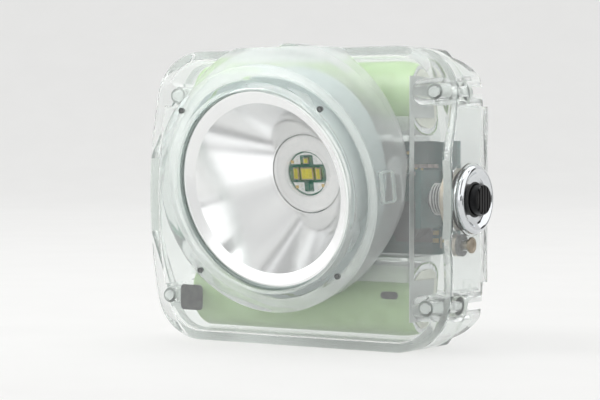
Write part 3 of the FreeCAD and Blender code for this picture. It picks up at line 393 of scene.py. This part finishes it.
def front_ring():
    """The clear screwed ring that holds the lens: stepped, with four dark cups painted as the shade
    of spanner holes.
    """
    mesh = bmesh.new()
    add_lathe(mesh, rounded([
        (30.6, 7.05, 0.3), (30.6, 11.0, 1.0), (29.6, 12.3, 0.9), (27.9, 12.35, 0.5),
        (27.2, 11.7, 0.5), (26.3, 12.1, 0.5), (25.6, 12.0, 0.3), (24.75, 12.0, 0.2),
        (24.75, 11.65, 0.1), (25.6, 11.6), (25.65, 4.3, 0.2), (27.5, 4.3, 0.3), (27.5, 7.05)],
        6), FINE_TURNS)
    ring = piece("front_ring", mesh, "clear_shell", place=optical, stands_for=["front_bezel"])
    ring.data.materials[0] = milky_clear
    ring.visible_shadow = False
    # four dark grey cups stand for the spanner holes: their colour is painted shade
    hole_shades = bmesh.new()
    holes, circle_radius, first_angle = 4, 28.6, FULL_TURN / 8
    for hole in range(holes):
        angle = first_angle + FULL_TURN * hole / holes
        add_lathe(hole_shades, rounded([(0, 11.4), (0.62, 11.4, 0.1), (0.75, 12.36), (0.5, 12.37),
                                    (0.4, 11.6), (0, 11.5)]), 24,
                  place=Matrix.Translation((circle_radius * math.cos(angle),
                                            circle_radius * math.sin(angle), 0)))
    hole_shades = piece("spanner_hole_shades", hole_shades, "component_black", place=optical)
    hole_shades.data.materials[0] = hole_painted_shade


# ---------------------------------------------------------------- light unit, on the optical axis
def reflector_cup():
    """A smooth straight-sided cup with one even finish."""
    mesh = bmesh.new()
    add_lathe(mesh, rounded([
        (10.1, -9.5), (21.2, 8.5), (23.75, 9.5, 0.3), (25.15, 9.5, 0.2), (25.15, 8.75, 0.15),
        (22.3, 8.0, 0.6), (11.3, -9.7, 0.6), (11.3, -11.35, 0.2), (10.1, -11.35, 0.1)]),
        FINE_TURNS)
    piece("reflector_cup", mesh, "mirror_coat", place=optical, stands_for=["reflector"])


def light_collar():
    """The white collar round the light board."""
    mesh = bmesh.new()
    add_lathe(mesh, rounded([
        (5.7, -10.15), (5.7, -9.75, 0.1), (6.2, -9.45, 0.1), (7.6, -9.5, 0.3), (9.4, -9.42, 0.1),
        (9.88, -9.62, 0.1), (9.88, -10.15)]))
    piece("light_collar", mesh, "white_plastic", place=optical, stands_for=["led_collar"])


def on_light_board(node):
    """The middle and size of each separate solid of a node, in mm on the optical axis."""
    mesh = bmesh.new()
    mesh.from_mesh(nodes[node].data)
    bmesh.ops.remove_doubles(mesh, verts=mesh.verts, dist=0.001 * MM)
    to_axis = optical.inverted()
    seen, boxes = set(), []
    for start in mesh.verts:
        if start in seen:
            continue
        group, queue = [], [start]
        seen.add(start)
        while queue:
            vert = queue.pop()
            group.append(to_axis @ vert.co / MM)
            for edge in vert.link_edges:
                other = edge.other_vert(vert)
                if other not in seen:
                    seen.add(other)
                    queue.append(other)
        low = Vector(min(point[i] for point in group) for i in range(3))
        high = Vector(max(point[i] for point in group) for i in range(3))
        boxes.append(((low + high) / 2, high - low))
    mesh.free()
    return boxes


def light_board():
    """A white board disc with a stepped green cross, and packages where the CAD has them."""
    disc = bmesh.new()
    radius, back, front = 9.85, -11.35, -10.25
    add_lathe(disc, rounded([(0, back), (radius, back, 0.1), (radius, front, 0.1), (0, front)]))
    piece("light_board", disc, "white_plastic", place=optical, stands_for=["led_board"])
    sides = sorted(on_light_board("aux_leds") + on_light_board("main_led_base"),
                   key=lambda box: box[0].x)
    side_margin, end_margin = 1.1, 0.77
    left, right = sides[0][0].x, sides[-1][0].x
    row_size = next(size for place, size in sides if abs(place.y) < 1)
    top_place, top_size = max(sides, key=lambda box: box[0].y)
    width = right - left + row_size.x + 2 * side_margin
    height = row_size.y + 2 * end_margin
    cross = bmesh.new()
    for x, y, wide, high in (
            (0, 0, width, height),
            (top_place.x, top_place.y, top_size.x + 2 * side_margin, top_size.y + side_margin),
            (top_place.x, -top_place.y, top_size.x + side_margin, top_size.y + side_margin)):
        add_prism(cross, rectangle(x, y, wide, high, 0.3), -10.26, -10.16, 0.02)
    for x, y in ((-4.3, 2.9), (4.2, -3.1), (-3.6, -3.5)):       # solder pads
        add_prism(cross, rectangle(x, y, 0.9, 0.8, 0.15), -10.2, -10.1, 0.02, 1)
    # a green ring round the collar's hole: the board's solder mask edge, and painted shade of the
    # hole's rim
    ring_inner, ring_outer, ring_back, ring_front = 5.3, 5.85, -10.27, -10.17
    add_lathe(cross, rounded([(ring_inner, ring_back), (ring_outer, ring_back),
                              (ring_outer, ring_front, 0.05), (ring_inner, ring_front, 0.05)]), 96)
    piece("light_board_cross", cross, "board_green", place=optical, extra=(gold_pad,))
    packages = bmesh.new()
    for place, size in sides:
        add_prism(packages, rectangle(place.x, place.y, size.x, size.y, 0.15), -10.18, -9.72, 0.06)
        add_prism(packages, rectangle(place.x, place.y, size.x - 0.5, size.y - 0.5, 0.2),
                  -9.74, -9.66, 0.03, 1)
    piece("light_packages", packages, "led_ceramic", place=optical,
          stands_for=["main_led_base", "main_led_phosphor", "aux_leds", "aux_led_phosphors"],
          extra=(materials["phosphor"],))


# ---------------------------------------------------------------- cells
def cell_sleeve(node):
    """A shrunk film round a cell, drawn in over both ends."""
    end, inner, edge, rim, waist, outer = 32.3, 8.97, 9.05, 9.2, 9.13, 9.22
    outline = rounded([(inner, 0.1 - end), (inner, end - 0.1), (edge, end, 0.1),
                       (rim, end - 0.5, 0.4), (waist, end - 2.2, 0.8), (outer, end - 4.0, 1.0),
                       (outer, 4.0 - end, 1.0), (waist, 2.2 - end, 0.8), (rim, 0.5 - end, 0.4),
                       (edge, -end, 0.1)])
    mesh = bmesh.new()
    add_lathe(mesh, outline, 128)
    piece(node + "_film", mesh, "cell_sleeve", stands_for=[node],
          place=axes_matrix(middle(node), Vector((0, 1, 0)), UP, RIGHT))


# ---------------------------------------------------------------- labels inside the front
def blank_labels():
    """Two blank rounded labels, without lettering, printed on the inside of the front wall."""
    mesh = bmesh.new()
    shell = nodes["front_shell"].data
    surface = BVHTree.FromPolygons([v.co for v in shell.vertices],
                                   [p.vertices for p in shell.polygons])
    low, high = face_low / MM, face_high / MM
    columns, rows, corner = 24, 8, 1.0
    behind_wall, gap, thickness = middle("lower_cell").y / MM - 10, 0.04, 0.02
    for x, z, width, height in ((low.x + 14, low.z + 11, 7, 6.5),
                                (high.x - 16, low.z + 14, 5, 1.8)):
        grid = []
        for i in range(columns + 1):
            across = width * (i / columns - 0.5)
            into = min(corner, width / 2 - abs(across))
            half = height / 2 - corner + math.sqrt(corner ** 2 - (corner - into) ** 2)
            line = []
            for j in range(rows + 1):
                start = Vector((x + across, behind_wall, z + half * (2 * j / rows - 1))) * MM
                line.append(mesh.verts.new(surface.ray_cast(start, FORWARD)[0]
                                           + Vector((0, gap, 0)) * MM))
            grid.append(line)
        for i in range(columns):
            for j in range(rows):
                mesh.faces.new((grid[i][j], grid[i + 1][j], grid[i + 1][j + 1], grid[i][j + 1]))
    bmesh.ops.solidify(mesh, geom=mesh.faces[:], thickness=thickness * MM)
    piece("blank_labels", mesh, "thermal_grey").data.materials[0] = print_grey


# ---------------------------------------------------------------- button
def push_button():
    """The bright ring with its rubber lip, and the small charging pin below it."""
    ring = bmesh.new()
    add_lathe(ring, rounded([
        (4.25, -4.85), (4.25, 0.45), (4.0, 0.45), (4.0, 0.95, 0.1), (5.9, 0.95, 0.4),
        (6.6, 1.55, 0.4), (7.1, 1.88, 0.25), (7.7, 1.88, 0.3), (8.38, 1.35, 0.5), (8.38, 0.32, 0.1),
        (5.58, 0.32), (5.58, -4.85)]))
    add_lathe(ring, rounded([(3.72, 0.5), (3.72, 1.2, 0.1), (4.0, 1.3, 0.15), (4.3, 1.05, 0.1),
                             (4.3, 0.6)]), 128, 1)
    piece("button_bezel", ring, "chrome", place=button, stands_for=["button_ring", "button_boot"],
          extra=(materials["boot_rubber"],))
    pin = bmesh.new()
    stem, head, back, shoulder, floor = 1.25, 1.95, -5.0, -0.2, 0.12
    add_lathe(pin, rounded([(0, back), (stem, back, 0.1), (stem, shoulder), (head, shoulder, 0.1),
                            (head, 0.38, 0.2), (1.35, 0.44, 0.1), (1.15, floor, 0.1), (0, floor)]),
              64)
    piece("charging_pin", pin, "brass", stands_for=["charge_pin"],
          place=Matrix.Translation((0, 0, middle("charge_pin").z - button_middle.z)) @ button)


def return_spring():
    """The button's spring, a copy of the CAD node in spring steel that casts shadows."""
    steel = materials["spring_steel"]
    spring = two_finishes("return_spring", "button_spring", (steel, steel), lambda *_: False)
    spring.visible_shadow = True
    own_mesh(spring)


# ---------------------------------------------------------------- driver board
def board_traces(mesh, draw, half, low, high):
    """Traces and vias, drawn at random, in the board's own millimetres."""
    rows, row_pitch, columns, column_pitch, vias = 7, 1.25, 16, 4.4, 40
    trace_width, trace_height, via_radius, via_height = 0.4, 0.06, 0.42, 0.09
    for row in range(rows):
        z = low + 1.2 + row * row_pitch
        left, right = -half + draw.uniform(0, 6), half - draw.uniform(0, 5)
        add_prism(mesh, rectangle(0.5 * (left + right), z, right - left, trace_width, 0.1),
                  0, trace_height)
    for column in range(columns):
        x = 1 - half + column * column_pitch + draw.uniform(-0.6, 0.6)
        start, end = low + 10 + draw.uniform(0, 4), high - 1.5 - draw.uniform(0, 3)
        add_prism(mesh, rectangle(x, 0.5 * (start + end), trace_width, end - start, 0.1),
                  0, trace_height)
    for _ in range(vias):
        x, z = draw.uniform(-half, half), draw.uniform(low + 0.5, high - 1.5)
        add_prism(mesh, circle(x, z, via_radius, 16), 0, via_height, 0, 1)


def board_face(name, mesh, place, extra):
    """One face's detail as a piece, whose traces have their own finish."""
    detail = piece(name, mesh, "board_dark", place=place, extra=extra)
    detail.data.materials[0] = board_trace


def board_detail():
    """Traces and pads on both faces of the driver board, and small parts on its back."""
    half, low, high = board_high.x / MM - 2, board_low.z / MM + 1, board_high.z / MM
    front = bmesh.new()
    board_traces(front, random.Random(7), half, low, high)
    pads, pad_pitch = 6, 1.9
    for pad in range(pads):
        add_prism(front, rectangle(half - 3, low + 2.5 + pad * pad_pitch, 2.6, 1.1, 0.2),
                  0, 0.14, 0.03, 1)
    board_face("driver_board_traces", front,
               axes_matrix(Vector((0, board_low.y, 0)), RIGHT, UP, FORWARD), (gold_pad,))
    rear = bmesh.new()
    board_traces(rear, random.Random(11), half, low, high)
    chip_z, pins, first_pin_z, pin_reach = 36, 5, 34, 3.4
    for x in (-21, 22):                                         # two chips
        add_prism(rear, rectangle(x, chip_z, 6, 5, 0.3), 0, 1.1, 0.12, 2)
        for pin in range(pins):
            for side in (-1, 1):
                add_prism(rear, rectangle(x + side * pin_reach, first_pin_z + pin, 0.9, 0.4, 0.05),
                          0, 0.3, 0.05, 1)
    for x, z in ((-29, 33), (-29, 36), (-29, 39), (-15, 33), (-15, 35.5), (29, 34), (29, 37),
                 (15.5, 38), (15.5, 35)):                       # resistors and capacitors
        add_prism(rear, rectangle(x, z, 1.9, 1.1, 0.1), 0, 0.6, 0.08, 3)
    board_face("driver_board_back", rear,
               axes_matrix(Vector((0, board_high.y, 0)), -RIGHT, UP, -FORWARD),
               (gold_pad, materials["component_black"], materials["led_ceramic"]))


# ---------------------------------------------------------------- rims of the barrel's side pads
def side_pad_rims():
    """A raised rounded outline on the pad at each side of the flared barrel."""
    slope = 5.2 / 7.2                   # how fast the barrel widens towards the case
    pad_front, pad_radius = 6, 30.5
    half_width, below, above = 0.25, -0.2, 0.22
    path = rectangle(0, 4.1, 7.4, 2.4, 0.6)
    mesh = bmesh.new()
    for side in (-1, 1):
        rings = []
        for i, point in enumerate(path):
            along = (path[(i + 1) % len(path)] - path[i - 1]).normalized()
            across = Vector((along.y, -along.x)) * half_width
            ring = []
            for offset, lift in ((-1, below), (1, below), (1, above), (-1, above)):
                t, height = point + across * offset
                radius = pad_radius + (pad_front - height) * slope + lift
                ring.append(mesh.verts.new(Vector((side * math.sqrt(radius ** 2 - t ** 2), t,
                                                   height)) * MM))
            rings.append(ring)
        for ring, other in zip(rings, rings[1:] + rings[:1]):
            for k in range(4):
                j = (k + 1) % 4
                mesh.faces.new((ring[k], ring[j], other[j], other[k]))
    piece("side_pad_rims", mesh, "frosted_plastic", place=optical)


side_pad_rims()
front_cover()
seam_seal()
front_ring()
reflector_cup()
light_collar()
light_board()
cell_sleeve("lower_cell_sleeve")
cell_sleeve("upper_cell_sleeve")
blank_labels()
push_button()
return_spring()
board_detail()


# ---------------------------------------------------------------- camera, stage and lights
AZIMUTH, ELEVATION = math.radians(33.42), math.radians(1.749)
CAMERA_DISTANCE, FOCAL = 0.48753, 119
LAMP_MIDDLE = Vector((0, 0, 0.037))
scene = bpy.context.scene
target = Vector((0.00423, -0.0145, 0.03658))
back = Vector((math.sin(AZIMUTH) * math.cos(ELEVATION), -math.cos(AZIMUTH) * math.cos(ELEVATION),
               math.sin(ELEVATION)))
camera = bpy.data.objects.new("camera", bpy.data.cameras.new("camera"))
scene.collection.objects.link(camera)
camera.location = target + back * CAMERA_DISTANCE
camera.rotation_euler = back.to_track_quat("Z", "Y").to_euler()
camera.data.lens = FOCAL
camera.data.clip_start = 0.01
scene.camera = camera
scene.view_settings.view_transform = "Standard"
scene.cycles.max_bounces = 32
scene.cycles.transmission_bounces = 24
scene.cycles.glossy_bounces = 12
scene.cycles.transparent_max_bounces = 24


def face_towards(obj, place, aim):
    """Puts an object at a place, with its z axis pointing away from the aim."""
    obj.location = place
    obj.rotation_euler = (Vector(place) - Vector(aim)).to_track_quat("Z", "Y").to_euler()


def area_light(name, place, size, power):
    """A soft rectangular light, aimed at the middle of the lamp."""
    light = bpy.data.lights.new(name, "AREA")
    light.shape = "RECTANGLE"
    light.size, light.size_y = size
    light.energy = power
    obj = bpy.data.objects.new(name, light)
    scene.collection.objects.link(obj)
    face_towards(obj, place, LAMP_MIDDLE)


area_light("key", (-0.45, -0.4, 0.6), (0.5, 0.5), 3.1)
area_light("overhead", (0.05, 0.1, 0.7), (0.6, 0.5), 1.6)


def card(name, place, aim, width, height, level):
    """A studio card of an even grey level, which only shows as a reflection."""
    w, h = width / 2, height / 2
    mesh = bpy.data.meshes.new(name)
    mesh.from_pydata([(-w, -h, 0), (w, -h, 0), (w, h, 0), (-w, h, 0)], [], [(0, 1, 2, 3)])
    mesh.materials.append(new_material(name, Base_Color=(0, 0, 0), Roughness=0.9,
                                       Emission_Color=(level,) * 3, Emission_Strength=1.0)[0])
    obj = bpy.data.objects.new(name, mesh)
    scene.collection.objects.link(obj)
    face_towards(obj, place, aim)
    for ray_kind in ("camera", "diffuse", "transmission", "shadow", "volume_scatter"):
        setattr(obj, "visible_" + ray_kind, False)


def towards(azimuth, elevation, distance):
    """A place seen from the lens in that direction: from the front towards +X, and upwards."""
    a, e = math.radians(azimuth), math.radians(elevation)
    return lens_centre + distance * Vector((math.sin(a) * math.cos(e), -math.cos(a) * math.cos(e),
                                            math.sin(e)))


# dark cards draw the button's chrome ring; grey and pale ones shade the reflector
card("flag_back", (0.28, 0.30, 0.06), button_middle, 0.09, 0.4, 0.02)
card("flag_low", (0.30, 0.05, 0.004), button_middle, 0.12, 0.1, 0.02)
card("flag_high", (0.22, 0.12, 0.34), button_middle, 0.06, 0.12, 0.02)
card("grey_side", towards(58, -8, 1.0), lens_centre, 0.72, 0.62, 0.1)
card("grey_top", towards(34, 40, 1.2), lens_centre, 0.7, 1.1, 0.25)
card("pale_low", towards(14, -26, 0.09), lens_centre, 0.12, 0.05, 0.74)

world = bpy.data.worlds.new("studio")
scene.world = world
world.use_nodes = True
sky = world.node_tree.nodes["Background"]
sky.inputs["Color"].default_value = (1, 1, 1, 1)
plain_strength, reflected_strength = 0.4, 1.3
ray = world.node_tree.nodes.new("ShaderNodeLightPath")
world.node_tree.links.new(spread(world.node_tree, ray.outputs["Is Glossy Ray"], plain_strength,
                                 reflected_strength), sky.inputs["Strength"])


def backdrop():
    """A pale floor that sweeps up into a wall behind the lamp."""
    near, depth, bend, height, half, steps = -2.5, 0.9, 0.5, 1.6, 3.0, 24
    path = [(near, 0.0), (depth, 0.0)]
    path += [(depth + bend * math.sin(i / steps * math.pi / 2),
              bend * (1 - math.cos(i / steps * math.pi / 2))) for i in range(1, steps + 1)]
    path.append((depth + bend, height))
    mesh = bpy.data.meshes.new("backdrop")
    points = [(x, y, z) for y, z in path for x in (-half, half)]
    faces = [(2 * i, 2 * i + 1, 2 * i + 3, 2 * i + 2) for i in range(len(path) - 1)]
    mesh.from_pydata(points, [], faces)
    mesh.shade_smooth()
    obj = bpy.data.objects.new("backdrop", mesh)
    scene.collection.objects.link(obj)
    obj.rotation_euler = (0, 0, AZIMUTH)
    paper = surfaced("backdrop", (0.25, 0.25, 0.245), (0.27, 0.27, 0.265), (0.7, 0.85), 30, 0.0,
                     Emission_Color=(0.6, 0.6, 0.595), Emission_Strength=1.0)
    mesh.materials.append(paper)


backdrop()
